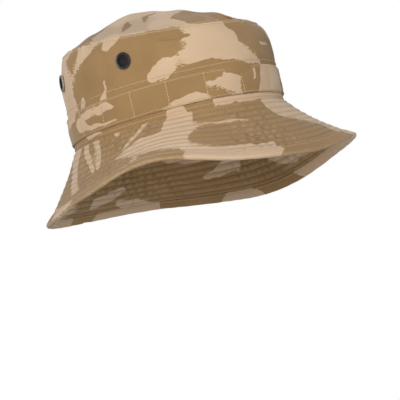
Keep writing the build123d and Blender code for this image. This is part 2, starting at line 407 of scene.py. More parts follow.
def weave(tree, place, spacing):
    """Plain weave: threads over and under each other, as a height of -1 to 1."""
    split = add(tree, "ShaderNodeSeparateXYZ", {0: place})
    warp = calculate(tree, "SINE", calculate(tree, "MULTIPLY", split.outputs[0], math.pi / spacing))
    weft = calculate(tree, "SINE", calculate(tree, "MULTIPLY", split.outputs[1], math.pi / spacing))
    return calculate(tree, "MULTIPLY", warp, weft)


print("mid grey in linear light:", round(linear("#808080")[0], 3))

# %% [markdown]
# Printed cotton: a plain-woven cotton, pigment printed in sand and brown. Matt, with a faint
# pale bloom where fibres catch the light at a glancing angle. The eye reads it from three
# things: the sharp but slightly ragged edges of the print, with dry-brush breakup in places;
# the soft mottling of washed pigment; and the fine weave. Threads lie 0.45 mm apart; they are
# drawn 0.62 mm apart, which is the finest that shows. The reverse is the same print, paler,
# because pigment stays on the face. On the brim the same cloth is quilted: the material swells
# it between two rows of stitches and paints shade into the groove that the stitches pull. Rubbed
# wear pales it at hems and folds; painted shade darkens creases and folds; a painted highlight pales the
# quilting's ridges.

# %% Printed cotton, face and reverse
THREAD_SPACING = 0.62


def printed_cotton(name, pale, quilted=False):
    material, tree, shader = new_material(name, Roughness=0.9, Sheen_Weight=0.22, Sheen_Roughness=0.45)
    shader.inputs["Specular IOR Level"].default_value = 0.28
    place = cloth_mm(tree)
    field = add(tree, "ShaderNodeAttribute", attribute_name="print").outputs["Fac"]
    ragged = calculate(tree, "MULTIPLY_ADD", noise(tree, place, 1.1), 1.3, -0.65)
    by_chance = add(tree, "ShaderNodeMapRange", {0: noise(tree, place, 30, 1.0), 1: 0.60, 2: 0.68}).outputs[0]
    dry = add(tree, "ShaderNodeAttribute", attribute_name="dry").outputs["Fac"]
    dry_zone = calculate(tree, "MAXIMUM", by_chance, dry)
    brush_slant = (0, 0, math.radians(24))
    drawn_out = add(tree, "ShaderNodeMapping", {0: place, 2: brush_slant, 3: (0.22, 1, 1)})
    bristle = calculate(tree, "MULTIPLY_ADD", noise(tree, drawn_out.outputs[0], 0.9, 1.0), 16.0, -8.0)
    edge = calculate(tree, "MULTIPLY_ADD", bristle, dry_zone, calculate(tree, "ADD", field, ragged))
    is_brown = add(tree, "ShaderNodeMapRange", {0: edge, 1: -0.18, 2: 0.18}).outputs[0]
    mottle = noise(tree, place, 34, 3.0)
    brown = blend_colours(tree, mottle, linear("#8b6c45"), linear("#a7875e"))
    sand = blend_colours(tree, mottle, linear("#c0a384"), linear("#d2b89c"))
    colour = blend_colours(tree, is_brown, sand, brown)
    colour = blend_colours(tree, pale, colour, linear("#c4ab8c"))
    threads = weave(tree, place, THREAD_SPACING)
    fibre = noise(tree, place, 0.5)
    shade = calculate(tree, "MULTIPLY_ADD", threads, 0.07, calculate(tree, "MULTIPLY_ADD", fibre, 0.16, 0.92))
    # The stored value is rubbed wear where positive at hems and folds, and a painted highlight on the brim's
    # quilted ridges; where negative it is painted shade in creases and folds.
    wear_and_painted_light = add(tree, "ShaderNodeAttribute", attribute_name="wear_and_painted_light").outputs["Fac"]
    # Painted shade: the colour darkens where the stored value is negative, in creases, folds and quilting grooves.
    painted_crease_shade = calculate(tree, "MULTIPLY_ADD", calculate(tree, "MINIMUM", wear_and_painted_light, 0.0), 0.42, 1.0)
    shade = calculate(tree, "MULTIPLY", shade, painted_crease_shade)
    patchy = calculate(tree, "MULTIPLY_ADD", noise(tree, place, 2.2), 0.9, -0.1)
    # Paler where the stored value is positive: rubbed wear at hems and folds, and a painted highlight on the
    # brim's ridges.
    wear_and_ridge_highlight = calculate(tree, "MULTIPLY", calculate(tree, "MAXIMUM", wear_and_painted_light, 0.0), patchy)
    shade_colour = add(tree, "ShaderNodeCombineColor", {0: shade, 1: shade, 2: shade}).outputs[0]
    colour = blend_colours(tree, 1.0, colour, shade_colour, "MULTIPLY")
    colour = blend_colours(tree, wear_and_ridge_highlight, colour, linear("#dcc6a6"))
    crease = calculate(tree, "MULTIPLY", noise(tree, place, 5.5, 3.0), 0.55)
    if quilted:
        run = add(tree, "ShaderNodeSeparateXYZ", {0: place}).outputs[1]
        strip = calculate(tree, "MULTIPLY", calculate(tree, "SUBTRACT", run, FIRST_ROW), math.pi / ROW_PITCH)
        swell = calculate(tree, "ABSOLUTE", calculate(tree, "SINE", strip))
        crease = calculate(tree, "MULTIPLY_ADD", calculate(tree, "POWER", swell, 0.6), 0.9, crease)
        # Painted shade: the colour darkens in the groove along each row of quilting stitches.
        groove = add(tree, "ShaderNodeMapRange", {0: swell, 1: 0.0, 2: 0.4, 3: 0.24, 4: 0.0}).outputs[0]
        colour = blend_colours(tree, groove, colour, linear("#5c4426"), "MULTIPLY")
    tree.links.new(colour, shader.inputs["Base Color"])
    height = calculate(tree, "MULTIPLY_ADD", threads, 0.05, calculate(tree, "MULTIPLY_ADD", fibre, 0.05, crease))
    bump = add(tree, "ShaderNodeBump", {"Height": height, "Distance": MM, "Strength": 0.8})
    tree.links.new(bump.outputs[0], shader.inputs["Normal"])
    return material


cotton_face = printed_cotton("printed cotton face", 0.0)
cotton_reverse = printed_cotton("printed cotton reverse", 0.45)
quilted_face = printed_cotton("printed cotton, quilted", 0.0, quilted=True)
print("printed cotton:", len(cotton_face.node_tree.nodes), "nodes, quilted:", len(quilted_face.node_tree.nodes))

# %% [markdown]
# The small cloths. Cotton tape is woven herringbone, plain dyed; the sweatband is the same
# cotton folded double. The label is a blank satin ribbon, the interlining a stiff white
# bonded canvas that never shows. The thread is spun polyester, smoother and a little glossier
# than the cotton, in a light tan that stands out on the brown.

# %% Tape, label, canvas and thread
def plain_cloth(name, dark, light, spacing, rough, sheen):
    material, tree, shader = new_material(name, Roughness=rough, Sheen_Weight=sheen)
    place = cloth_mm(tree)
    threads = weave(tree, place, spacing)
    mottle = noise(tree, place, 12, 3.0)
    colour = blend_colours(tree, mottle, linear(dark), linear(light))
    shade = calculate(tree, "MULTIPLY_ADD", threads, 0.12, 0.94)
    shade_colour = add(tree, "ShaderNodeCombineColor", {0: shade, 1: shade, 2: shade}).outputs[0]
    tree.links.new(blend_colours(tree, 1.0, colour, shade_colour, "MULTIPLY"), shader.inputs["Base Color"])
    height = calculate(tree, "MULTIPLY_ADD", threads, 0.08, calculate(tree, "MULTIPLY", mottle, 0.4))
    bump = add(tree, "ShaderNodeBump", {"Height": height, "Distance": MM, "Strength": 0.8})
    tree.links.new(bump.outputs[0], shader.inputs["Normal"])
    return material


cotton_tape = plain_cloth("cotton herringbone tape", "#8a6c45", "#a3835a", 0.8, 0.88, 0.2)
sweat_cotton = plain_cloth("sweatband cotton", "#7d6242", "#94764f", 0.7, 0.85, 0.25)
satin_ribbon = plain_cloth("satin label ribbon", "#ddd8cc", "#efece2", 0.4, 0.5, 0.1)
bonded_canvas = plain_cloth("bonded interlining canvas", "#d5d0c2", "#e5e1d5", 0.9, 0.9, 0.0)


def spun_thread(name):
    """Two plies twist round each other, so fine slanted bands cross every stitch."""
    material, tree, shader = new_material(name, Roughness=0.6, Sheen_Weight=0.15)
    place = cloth_mm(tree)
    twist = add(tree, "ShaderNodeTexWave", {"Vector": place, "Scale": 0.9, "Distortion": 0.6},
                bands_direction="DIAGONAL").outputs["Fac"]
    colour = blend_colours(tree, twist, linear("#b08f63"), linear("#d9bd92"))
    tree.links.new(colour, shader.inputs["Base Color"])
    bump = add(tree, "ShaderNodeBump", {"Height": twist, "Distance": 0.1 * MM, "Strength": 0.6})
    tree.links.new(bump.outputs[0], shader.inputs["Normal"])
    return material


tan_thread = spun_thread("spun polyester thread")
print("small cloths:", cotton_tape.name, sweat_cotton.name, satin_ribbon.name, bonded_canvas.name, sep=" | ")

# %% [markdown]
# The vents are stamped brass, stoved in black paint. The paint is thin and satin. On the rolled
# rim it is rubbed through, which draws a fine pale line round each eyelet. The screen is woven
# from wire with the same black coat.

# %% Black painted brass
def painted_brass(name, rough):
    material, tree, shader = new_material(name, Roughness=rough, Metallic=0.0, IOR=1.5, Coat_Weight=0.15)
    place = add(tree, "ShaderNodeTexCoord").outputs["Object"]
    grain = add(tree, "ShaderNodeTexNoise", {"Vector": place, "Scale": 1400.0, "Detail": 3.0}).outputs["Fac"]
    rim = add(tree, "ShaderNodeAttribute", attribute_name="rim").outputs["Fac"]
    edge = calculate(tree, "MULTIPLY", rim, calculate(tree, "MULTIPLY_ADD", grain, 0.5, 0.5))
    base = blend_colours(tree, grain, linear("#151517"), linear("#26272a"))
    tree.links.new(blend_colours(tree, edge, base, linear("#b9ad98")), shader.inputs["Base Color"])
    bump = add(tree, "ShaderNodeBump", {"Height": grain, "Distance": 0.05 * MM, "Strength": 0.5})
    tree.links.new(bump.outputs[0], shader.inputs["Normal"])
    return material


black_brass = painted_brass("black painted brass", 0.33)
black_wire = painted_brass("black coated wire", 0.42)
print("materials:", len(bpy.data.materials))

# %% [markdown]
# One function turns two grids of points, the face and the back of a cloth, into a closed mesh.
# It walls in every free edge, holes included, so each piece is cloth with a real thickness.
# It stores the cloth's own millimetres as a uv map, and at each point the print and a value that carries both
# rubbed wear and painted light and shade.

# %% Cloth from two grids
def make_mesh(name, points, faces, uv, values, finish_of_face, finishes):
    mesh = bpy.data.meshes.new(name)
    mesh.from_pydata((np.asarray(points) * MM).tolist(), [], [list(f) for f in faces])
    for finish in finishes:
        mesh.materials.append(finish)
    mesh.polygons.foreach_set("material_index", np.asarray(finish_of_face, np.int32))
    mesh.polygons.foreach_set("use_smooth", np.ones(len(mesh.polygons), bool))
    corner = np.empty(len(mesh.loops), np.int32)
    mesh.loops.foreach_get("vertex_index", corner)
    mesh.uv_layers.new(name="cloth").data.foreach_set("uv", (uv[corner] * MM).ravel())
    for key, value in values.items():
        mesh.attributes.new(key, "FLOAT", "POINT").data.foreach_set("value", value.astype(np.float32))
    mesh.set_sharp_from_angle(angle=math.radians(55))
    piece = bpy.data.objects.new(name, mesh)
    bpy.context.scene.collection.objects.link(piece)
    return piece


def cloth_piece(name, face, back, x_mm, y_mm, finishes, field=None, wear_and_painted_light=None, keep=None, dry=None):
    rows, columns = face.shape[:2]
    count = rows * columns
    index = np.arange(count).reshape(rows, columns)
    quads = np.stack([index[:-1, :-1], index[:-1, 1:], index[1:, 1:], index[1:, :-1]], -1).reshape(-1, 4)
    if keep is not None:
        quads = quads[keep.ravel()]
    points = np.concatenate([face.reshape(-1, 3), back.reshape(-1, 3)])
    corners = points[quads]
    facing = np.cross(corners[:, 2] - corners[:, 0], corners[:, 3] - corners[:, 1])
    if np.sum(facing * (points[quads[:, 0]] - points[quads[:, 0] + count])) < 0:
        quads = quads[:, ::-1]
    start = quads.ravel()
    end = np.roll(quads, -1, axis=1).ravel()
    free = ~np.isin(start * count + end, end * count + start)
    a, b = start[free], end[free]
    walls = np.stack([b, a, a + count, b + count], -1)
    faces = np.concatenate([quads, quads[:, ::-1] + count, walls])
    finish_of_face = np.concatenate([np.zeros(len(quads)), np.ones(len(quads)), np.zeros(len(walls))])
    used, faces = np.unique(faces, return_inverse=True)
    faces = faces.reshape(-1, 4)
    uv = np.stack([np.broadcast_to(x_mm, (rows, columns)), np.broadcast_to(y_mm, (rows, columns))], -1)
    values = {}
    for key, value in (("print", field), ("wear_and_painted_light", wear_and_painted_light), ("dry", dry)):
        value = np.broadcast_to(0.0 if value is None else value, (rows, columns))
        values[key] = np.tile(value.ravel(), 2)[used]
    return make_mesh(name, points[used], faces, np.tile(uv.reshape(-1, 2), (2, 1))[used], values,
                     finish_of_face, finishes)


def flat_area(face):
    """Area of a grid of points, in square metres."""
    a = face[1:, 1:] - face[:-1, :-1]
    b = face[1:, :-1] - face[:-1, 1:]
    return float(np.linalg.norm(np.cross(a, b), axis=-1).sum() / 2 * MM**2)


square = np.stack([*np.meshgrid(np.arange(11.0), np.arange(11.0)), np.zeros((11, 11))], -1)
print("a 10 mm square measures", round(flat_area(square) / MM**2, 3), "mm2")

# %% [markdown]
# A lockstitch shows as a row of short dashes, each pulled down into the cloth at both ends.
# Every stitch here is a small five-sided tube with its middle raised, laid along a seam line.
# All the stitches of a seam are one piece.

# %% Stitches along a line
STITCH_PITCH = 3.1
STITCH_LENGTH = 2.5
THREAD_RADIUS = 0.3


def stitches(name, seams, body, pitch=STITCH_PITCH, radius=THREAD_RADIUS):
    """seams is a list of (points, normals) in mm; returns one piece that rides on body."""
    sides, sections = 5, 4
    points, faces, uv = [], [], []
    for line, up in seams:
        steps = np.linalg.norm(np.diff(line, axis=0), axis=1)
        place = np.concatenate([[0], np.cumsum(steps)])
        count = int(place[-1] / pitch)
        starts = (np.arange(count) + 0.5) * place[-1] / count - STITCH_LENGTH / STITCH_PITCH * pitch / 2
        along = starts[:, None] + np.linspace(0, STITCH_LENGTH / STITCH_PITCH * pitch, sections)
        at = np.stack([np.interp(along, place, line[:, k]) for k in range(3)], -1)
        normal = np.stack([np.interp(along, place, up[:, k]) for k in range(3)], -1)
        normal /= np.linalg.norm(normal, axis=-1, keepdims=True)
        forward = at[:, -1:] - at[:, :1]
        side = np.cross(normal, forward / np.linalg.norm(forward, axis=-1, keepdims=True))
        raised = np.array([-0.3, 0.55, 0.55, -0.3]) * radius
        at = at + normal * raised[None, :, None]
        turn = np.arange(sides) / sides * math.tau
        ring = at[:, :, None] + radius * (side[:, :, None] * np.cos(turn)[:, None]
                                          + normal[:, :, None] * 0.8 * np.sin(turn)[:, None])
        first = sum(len(p) for p in points)
        points.append(ring.reshape(-1, 3))
        lengthwise = np.broadcast_to(along[:, :, None], ring.shape[:3])
        roundwise = np.broadcast_to(turn * radius, ring.shape[:3])
        uv.append(np.stack([lengthwise, roundwise], -1).reshape(-1, 2))
        base = first + np.arange(count)[:, None] * sides * sections
        for s in range(sections - 1):
            for k in range(sides):
                j = (k + 1) % sides
                faces.append(base + [[s * sides + k, s * sides + j, (s + 1) * sides + j, (s + 1) * sides + k]])
        caps = [list(base_one + order) for base_one in base.ravel()
                for order in (np.arange(sides)[::-1], (sections - 1) * sides + np.arange(sides))]
        faces.append(caps)
    faces = [list(map(int, f)) for group in faces for f in group]
    points, uv = np.concatenate(points), np.concatenate(uv)
    piece = make_mesh(name, points, faces, uv, {}, np.zeros(len(faces)), [tan_thread])
    if body:
        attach(piece, body)
    return piece


print("a stitch shows", STITCH_LENGTH, "mm of every", STITCH_PITCH, "mm of thread")

# %% [markdown]
# The crown's side is two panels, front and back. It is straight up to the shoulder and rolls
# over to the tip seam. The cloth slouches a little between the places that hold it: the band,
# the tip seam and the vents. The tip seam gathers it into small puckers.

# %% Relief of the crown's side
SIDE_SEAM = abs(along_at(math.acos(-SIDE_SEAM_BACK / HALF_LENGTH)))
VENT_ALONG = [along_at(math.radians(angle)) for angle in VENTS.values()]


print("side seams", round(SIDE_SEAM, 1), "mm from the front; vents at", np.round(VENT_ALONG, 1).tolist())


def side_relief(along, height):
    """How far the side stands out from its pattern, in mm."""
    slouch = 1.1 * uneven(along, height * 1.4, 110, 61) + 0.55 * uneven(along, height, 42, 62)
    for vent in VENT_ALONG:
        slouch = slouch * ease(9, 26, np.hypot(wrapped(along - vent), height - VENT_HEIGHT))
    slouch = slouch * ease(2, 22, height) * ease(SEAM_HEIGHT, SEAM_HEIGHT - 9, height)
    pucker = 0.42 * uneven(along, height * 0.2, 9, 63) * np.exp(-(SEAM_HEIGHT - height) / 4.5)
    above_band = 0.22 * uneven(along, height * 0.2, 8, 64) * np.exp(-np.abs(height - BAND_HIGH - 4.5) / 3)
    ridge = 0.7 * ease(SEAM_HEIGHT - 2.6, SEAM_HEIGHT - 1.0, height)
    round_back = ease(150, 230, np.abs(wrapped(along)))
    slump = -2.0 * round_back * np.exp(-((height - 69) / 7)**2) * ease(SEAM_HEIGHT, SEAM_HEIGHT - 5, height)
    return slouch + pucker + above_band + ridge + slump


def side_heights(step):
    straight = np.arange(0, STRAIGHT, step)
    turns = np.linspace(0, SHOULDER_TURN, int(30 / step) + 1)
    return np.concatenate([straight, STRAIGHT + SHOULDER_RISE * np.sin(turns)])


def crown_layer(along, height, lift):
    """Grid of points on the crown, lift mm outside its pattern."""
    place = crown_point(along, height)
    ahead = crown_point(along + 0.5, height) - crown_point(along - 0.5, height)
    higher = np.clip(height + 0.3, None, SEAM_HEIGHT)
    rise = crown_point(along, higher) - crown_point(along, higher - 0.6)
    normal = np.cross(rise, ahead)
    normal /= np.linalg.norm(normal, axis=-1, keepdims=True)
    normal *= np.sign(np.sum(normal[..., :2] * place[..., :2], -1, keepdims=True))
    return place + normal * np.asarray(lift)[..., None], normal


def side_panel(name, first, last, lap, shapes):
    along = np.linspace(first, last, int((last - first) / CLOTH_STEP))[None, :]
    height = side_heights(CLOTH_STEP)[:, None]
    along, height = np.broadcast_arrays(along, height)
    lift = side_relief(along, height)
    lift = lift + lap * ease(7.5, 6.3, np.minimum(along - first, last - along))
    face, _ = crown_layer(along, height, lift)
    back, _ = crown_layer(along, height, lift - CLOTH)
    field = print_on(wrapped(along), height, shapes, 5)
    wear_and_painted_light = 0.5 * ease(SEAM_HEIGHT - 3, SEAM_HEIGHT - 0.5, height)
    keep = np.ones((face.shape[0] - 1, face.shape[1] - 1), bool)
    for vent in VENT_ALONG:
        near = np.hypot(wrapped(along - vent), height - VENT_HEIGHT) < VENT_HOLE
        keep &= ~(near[:-1, :-1] | near[1:, 1:] | near[1:, :-1] | near[:-1, 1:])
    length = np.concatenate([[0], np.cumsum(np.linalg.norm(np.diff(face[:, 0], axis=0), axis=1))])[:, None]
    piece = cloth_piece(name, face, back, along, length, [cotton_face, cotton_reverse], field, wear_and_painted_light, keep,
                        dry_on(wrapped(along), height, SIDE_DRY))
    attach(piece, "root")
    return piece


# %% [markdown]
# The two panels meet in an upright seam behind each vent pair's middle. There the front panel
# laps over the back one and stands a little proud. Three rows of stitches run all the way round:
# at the brim seam, just above the band and under the tip seam.

# %% The two side panels
side_front = side_panel("crown_side_front_cloth", -SIDE_SEAM, SIDE_SEAM, 0.45, SIDE_SHAPES)
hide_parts("crown_side_front")
side_back = side_panel("crown_side_back_cloth", SIDE_SEAM, GIRTH - SIDE_SEAM, 0.0, SIDE_SHAPES)
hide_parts("crown_side_back")


def crown_seam(first, last, height, lift):
    """A level seam line on the crown."""
    places = np.arange(first, last, CLOTH_STEP)
    heights = np.full(len(places), float(height))
    return crown_layer(places, heights, side_relief(places, heights) + lift)


side_rows = [crown_seam(-GIRTH / 2, GIRTH / 2, 3.4, 0.05),
             crown_seam(-GIRTH / 2, GIRTH / 2, BAND_HIGH + 5.0, 0.05),
             crown_seam(-GIRTH / 2, GIRTH / 2, SEAM_HEIGHT - 1.7, 0.0)]
stitches("crown_side_stitches", side_rows, "root")

# %% [markdown]
# The tip is an oval of the same cloth. The head pushes it up into a dome whose top lies behind
# the middle, and its slack falls into a few soft folds. Its edge is sewn to the side and
# top-stitched, so a low ridge with puckers runs all round it.

# %% The tip
def tip_point(angle, share, lift):
    """share is 1 at the tip seam and 0 at the top of the dome."""
    x = (HALF_WIDTH - TIP_INSET) * share * np.sin(angle)
    y = -(HALF_LENGTH - TIP_INSET) * share * np.cos(angle) + TIP_BACK * (1 - share**2)
    z = SEAM_HEIGHT + LEAN * y + TIP_RISE * (1 - share**1.75)
    return np.stack([x, y, z + lift], -1)


def tip_relief(x, y, share, angle):
    slant = x * 0.8 + y * 0.6
    across = y * 0.8 - x * 0.6
    folds = 1.3 * uneven(slant * 0.4, across, 46, 81) + 0.7 * uneven(slant * 0.4, across, 21, 82)
    folds = folds * ease(1.0, 0.8, share)
    edge = (1 - share) * HALF_LENGTH
    round_way = np.minimum(angle, math.tau - angle) * HALF_LENGTH * 0.9 + 9 * (angle > math.pi)
    gathers = 1.5 * uneven(round_way, edge * 0.3, 24, 84) * ease(1, 6, edge) * np.exp(-edge / 20)
    pucker = 0.7 * uneven(round_way, edge * 0.2, 8, 83) * np.exp(-edge / 6) + gathers
    ridge = 0.7 * np.exp(-((edge - 1.6) / 1.6)**2)
    return folds + pucker + ridge


def make_tip():
    angle = np.linspace(0, math.tau, 361)[None, :]
    share = np.concatenate([np.linspace(1, 0.9, 9)[:-1], np.linspace(0.9, 0.004, 52)])[:, None]
    angle, share = np.broadcast_arrays(angle, share)
    flat = tip_point(angle, share, 0)
    lift = tip_relief(flat[..., 0], flat[..., 1], share, angle)
    face = tip_point(angle, share, lift + 0.1)
    back = tip_point(angle, share, lift + 0.1 - CLOTH)
    x_mm, y_mm = flat[..., 0] * 1.06, flat[..., 1] * 1.06
    field = print_on(x_mm, y_mm, TIP_SHAPES, 15)
    # Rubbed wear along the seam edge; painted shade where the folds sink.
    wear_and_painted_light = 0.55 * np.exp(-(((1 - share) * HALF_LENGTH - 1.2) / 1.5)**2) - 0.45 * ease(0.1, 1.6, -lift)
    piece = cloth_piece("crown_tip_cloth", face, back, x_mm, y_mm, [cotton_face, cotton_reverse], field, wear_and_painted_light)
    shape = bmesh.new()
    shape.from_mesh(piece.data)
    bmesh.ops.remove_doubles(shape, verts=shape.verts, dist=0.00002)
    bmesh.ops.holes_fill(shape, edges=shape.edges)
    shape.to_mesh(piece.data)
    shape.free()
    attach(piece, "root")
    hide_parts("crown_tip")
    return piece


tip = make_tip()
tip_angles = np.linspace(0, math.tau, 360)
tip_shares = np.full(360, 1 - 4.0 / HALF_LENGTH)
tip_flat = tip_point(tip_angles, tip_shares, 0)
tip_lift = tip_relief(tip_flat[:, 0], tip_flat[:, 1], tip_shares, tip_angles) + 0.15
tip_line = tip_point(tip_angles, tip_shares, tip_lift)
stitches("tip_seam_stitches", [(tip_line, np.tile([0.0, 0.0, 1.0], (360, 1)))], "root")
print("tip", len(tip.data.vertices), "points")

# %% [markdown]
# The foliage band is a folded strip of the same cloth laid round the crown just above the brim.
# It is held by a row of stitches along each edge and by an upright bar of stitches every 32 mm,
# so it stands away from the crown a little between the bars, as the loops it is made to be.

# %% The band of loops
BAR_SPACING = GIRTH / 18
FIRST_BAR = 19.0


def band_relief(along, height):
    place = np.mod(along - FIRST_BAR, BAR_SPACING) / BAR_SPACING
    between = np.sin(np.pi * place)**0.6
    up = (height - BAND_LOW) / (BAND_HIGH - BAND_LOW)
    free = np.sin(np.pi * np.clip(up, 0, 1))**0.5
    belly = 0.75 * between * free + 0.25 * uneven(along, height * 1.5, 26, 71) * between * free
    return 1.25 + belly + 0.15 * uneven(along, height, 7, 72) * (1 - 0.6 * free)


def band_piece():
    along = np.linspace(-GIRTH / 2, GIRTH / 2, int(GIRTH / CLOTH_STEP))[None, :]
    rows = np.concatenate([[0, 0.35], np.linspace(0.9, BAND_HIGH - BAND_LOW - 0.9, 16),
                           [BAND_HIGH - BAND_LOW - 0.35, BAND_HIGH - BAND_LOW]])[:, None]
    along, rows = np.broadcast_arrays(along, rows)
    from_edge = np.minimum(rows, BAND_HIGH - BAND_LOW - rows)
    roll = 0.4 * (1 - np.sqrt(np.clip(from_edge / 0.9, 0, 1)))
    wander = 0.25 * uneven(along, 0 * along, 60, 73)
    height = BAND_LOW + rows + wander
    lift = band_relief(along, height) - roll
    face, _ = crown_layer(along, height, lift)
    back, _ = crown_layer(along, height, np.minimum(lift - CLOTH, 0.25 + roll))
    field = print_on(along, height, BAND_SHAPES, 25)
    wear_and_painted_light = 0.6 * ease(0.9, 0.2, from_edge)
    piece = cloth_piece("foliage_loop_band_cloth", face, back, along, rows, [cotton_face, cotton_reverse],
                        field, wear_and_painted_light, None, dry_on(along, height, BAND_DRY))
    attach(piece, "root")
    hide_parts("foliage_loop_band")
    return piece


band_piece()


def on_band(along, height, extra):
    return crown_layer(along, height, band_relief(along, height) + extra)


around = np.arange(-GIRTH / 2, GIRTH / 2, CLOTH_STEP)
band_rows = [on_band(around, np.full(len(around), BAND_HIGH - 1.5), 0.0),
             on_band(around, np.full(len(around), BAND_LOW + 1.4), 0.0)]
for n in range(18):
    place = FIRST_BAR + n * BAR_SPACING - GIRTH / 2
    for sway in (-0.35, 0.35):
        upward = np.linspace(BAND_LOW + 0.6, BAND_HIGH - 0.6, 30)
        sideways = place + sway * np.cos(upward * 0.9)
        band_rows.append(on_band(sideways, upward, 0.1))
stitches("foliage_band_stitches", band_rows, "root", 2.3, 0.26)
print("band: 18 loops of", round(BAR_SPACING, 1), "mm")

# %% [markdown]
# The brim is quilted: two cloths on a stiff canvas, sewn through in nine rows 6.2 mm apart. The
# rows draw the cloth in, so short puckers stand across every strip between two rows. Each layer
# is one half of the way round; the halves meet at the centre front and the centre back.

# %% Relief of the brim
ROWS = FIRST_ROW + ROW_PITCH * np.arange(9)
UPPER_OUT, LOWER_OUT = 1.1, 1.0      # outsides of the two cloths, from the middle of the brim
CANVAS_ROOM = 0.5         # their insides; the canvas between them is thinner
CANVAS_HALF = 0.4
UPPER_SEED, LOWER_SEED = 101, 141


print("rows of quilting at", ROWS.round(1).tolist(), "mm")


def quilt(along, run, seed):
    """Height of the quilted cloth over the canvas, in mm, and how deep in a crease it lies, which darkens its
    colour as painted shade.
    """
    strip = (run - FIRST_ROW) / ROW_PITCH
    within = np.abs(np.sin(np.pi * strip))**0.7
    last = ROWS[-1]
    beyond = 0.75 * np.exp(-((run - last - 2.2) / 2.4)**2) + 0.25 * ease(last, last + 2, run)
    swell = np.where(run > last, beyond, within)
    swell = np.where(run < FIRST_ROW, ease(FIRST_ROW, FIRST_ROW - 2.5, run), swell)
    number = np.floor(strip)
    shift = 2.4 * np.sin(number * 2.3 + seed) + 2.6 * uneven(along, number * 40, 60, seed, 6)
    regular = np.sin(math.tau * along / 5.8 + shift)
    random = uneven(along, run * 0.35, 7.0, seed + 9, 8)
    strength = np.clip(0.4 + 0.6 * uneven(along, run, 80, seed + 20), 0.05, 1.1)
    ripple = strength * (0.55 * regular + 0.45 * random) * (0.15 + 0.85 * swell)
    # How deep in a crease each point lies; the cloth's colour darkens by it as painted shade.
    crease = 0.35 * ease(0.6, 0.0, within) * (run < last + 1.5) + 0.55 * ease(0.05, 0.6, -ripple)
    return 0.6 * swell + 0.4 * ripple, np.clip(crease, 0, 1)


def brim_layer(along, run, lift, towards=1):
    """Points lift mm from the middle of the brim, on its upper side when towards is 1."""
    place = brim_point(along, run)
    ahead = brim_point(along + 0.5, run) - brim_point(along - 0.5, run)
    outward = brim_point(along, run + 0.5) - brim_point(along, run - 0.5)
    normal = np.cross(outward, ahead)
    normal /= np.linalg.norm(normal, axis=-1, keepdims=True)
    normal *= np.sign(normal[..., 2:])
    return place + normal * towards * np.asarray(lift)[..., None], normal * towards


def wave(along, run):
    """Slow unevenness of the whole brim, all its layers together, in mm."""
    return 0.8 * uneven(along, run * 0.6, 70, 91) * ease(3, 40, run)


BENDS = {
    "right": ((0.0, GIRTH / 2), "brim_right", ((-0.080, 0, 0), (-0.112, 0, -0.008))),
    "left": ((-GIRTH / 2, 0.0), "brim_left", ((0.080, 0, 0), (0.110, 0, -0.012))),
}


def bend(piece, side, layer=None):
    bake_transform(piece)
    if layer:
        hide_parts(f"{layer}_{side}", f"{layer}_{'front' if side == 'right' else 'back'}")
    return piece


def half_layer(layer, side, outer, inner, towards, finishes, seed, shapes, narrower=0.0):
    """One layer of one half; every layer has the same grid."""
    first, last = BENDS[side][0]
    along = np.linspace(first, last, int((last - first) / CLOTH_STEP))[None, :]
    run = np.linspace(0.4 + 2 * narrower, BRIM_WIDTH - narrower, int(BRIM_WIDTH / CLOTH_STEP))[:, None]
    along, run = np.broadcast_arrays(along, run)
    base = wave(along, run) * towards
    relief, crease = quilt(along, run, seed) if seed else (0.0 * run, 0.0 * run)
    lift = outer + relief * ease(-0.5, 2.5, run) * (1 - 0.6 * ease(56, 58.5, run))
    face, _ = brim_layer(along, run, lift + base, towards)
    back, _ = brim_layer(along, run, inner + base + 0 * run, towards)
    field = print_on(along, run, shapes, 45) if shapes else None
    # Painted highlight on the swell of each strip, painted shade in its creases.
    wear_and_painted_light = 0.45 * ease(0.45, 0.85, relief) * (1 - crease) - crease
    dry = dry_on(along, run, BRIM_DRY) if layer == "brim_upper" else None
    piece = cloth_piece(f"{layer}_{side}_half", face, back, along, run, finishes, field, wear_and_painted_light, None, dry)
    bend(piece, side, layer)
    return piece


# %% [markdown]
# The layers themselves: the printed upper cloth, the white canvas, cut a little narrower so that
# it never shows, and the printed lower cloth with its face down. The rows of quilting are sewn
# through all three, so their stitches show on both faces, fine and pale.

# %% The brim's layers
UNDER_SHAPES = loose_strokes(-288, 288, 6, 56, 26, 53)
for side in BENDS:
    half_layer("brim_upper", side, UPPER_OUT, CANVAS_ROOM, 1, [quilted_face, cotton_reverse], UPPER_SEED,
               BRIM_SHAPES)
    half_layer("brim_interlining", side, CANVAS_HALF, -CANVAS_HALF, 1, [bonded_canvas], 0, None,
               0.5)
    half_layer("brim_lower", side, LOWER_OUT, CANVAS_ROOM, -1, [quilted_face, cotton_reverse], LOWER_SEED,
               UNDER_SHAPES)


def brim_seam(side, run, seed, outer, towards):
    first, last = BENDS[side][0]
    along = np.arange(first, last, CLOTH_STEP)
    runs = run + 0 * along
    lift = outer + quilt(along, runs, seed)[0] * ease(-0.5, 2.5, runs) + wave(along, runs) * towards + 0.08
    return brim_layer(along, runs, lift, towards)


for side in BENDS:
    for face_name, outer, towards, seed in (("upper", UPPER_OUT, 1, UPPER_SEED),
                                            ("lower", LOWER_OUT, -1, LOWER_SEED)):
        seams = [brim_seam(side, run, seed, outer, towards) for run in ROWS]
        bend(stitches(f"brim_{face_name}_stitches_{side}", seams, None, 3.2, 0.2), side)
print("quilting:", len(ROWS), "rows,", ROW_PITCH, "mm apart")

# %% [markdown]
# A bias strip is folded over the brim's raw edge and top-stitched through all layers, near its
# inner folded edge. Cut on the bias, it ripples slightly where it goes round the curve.

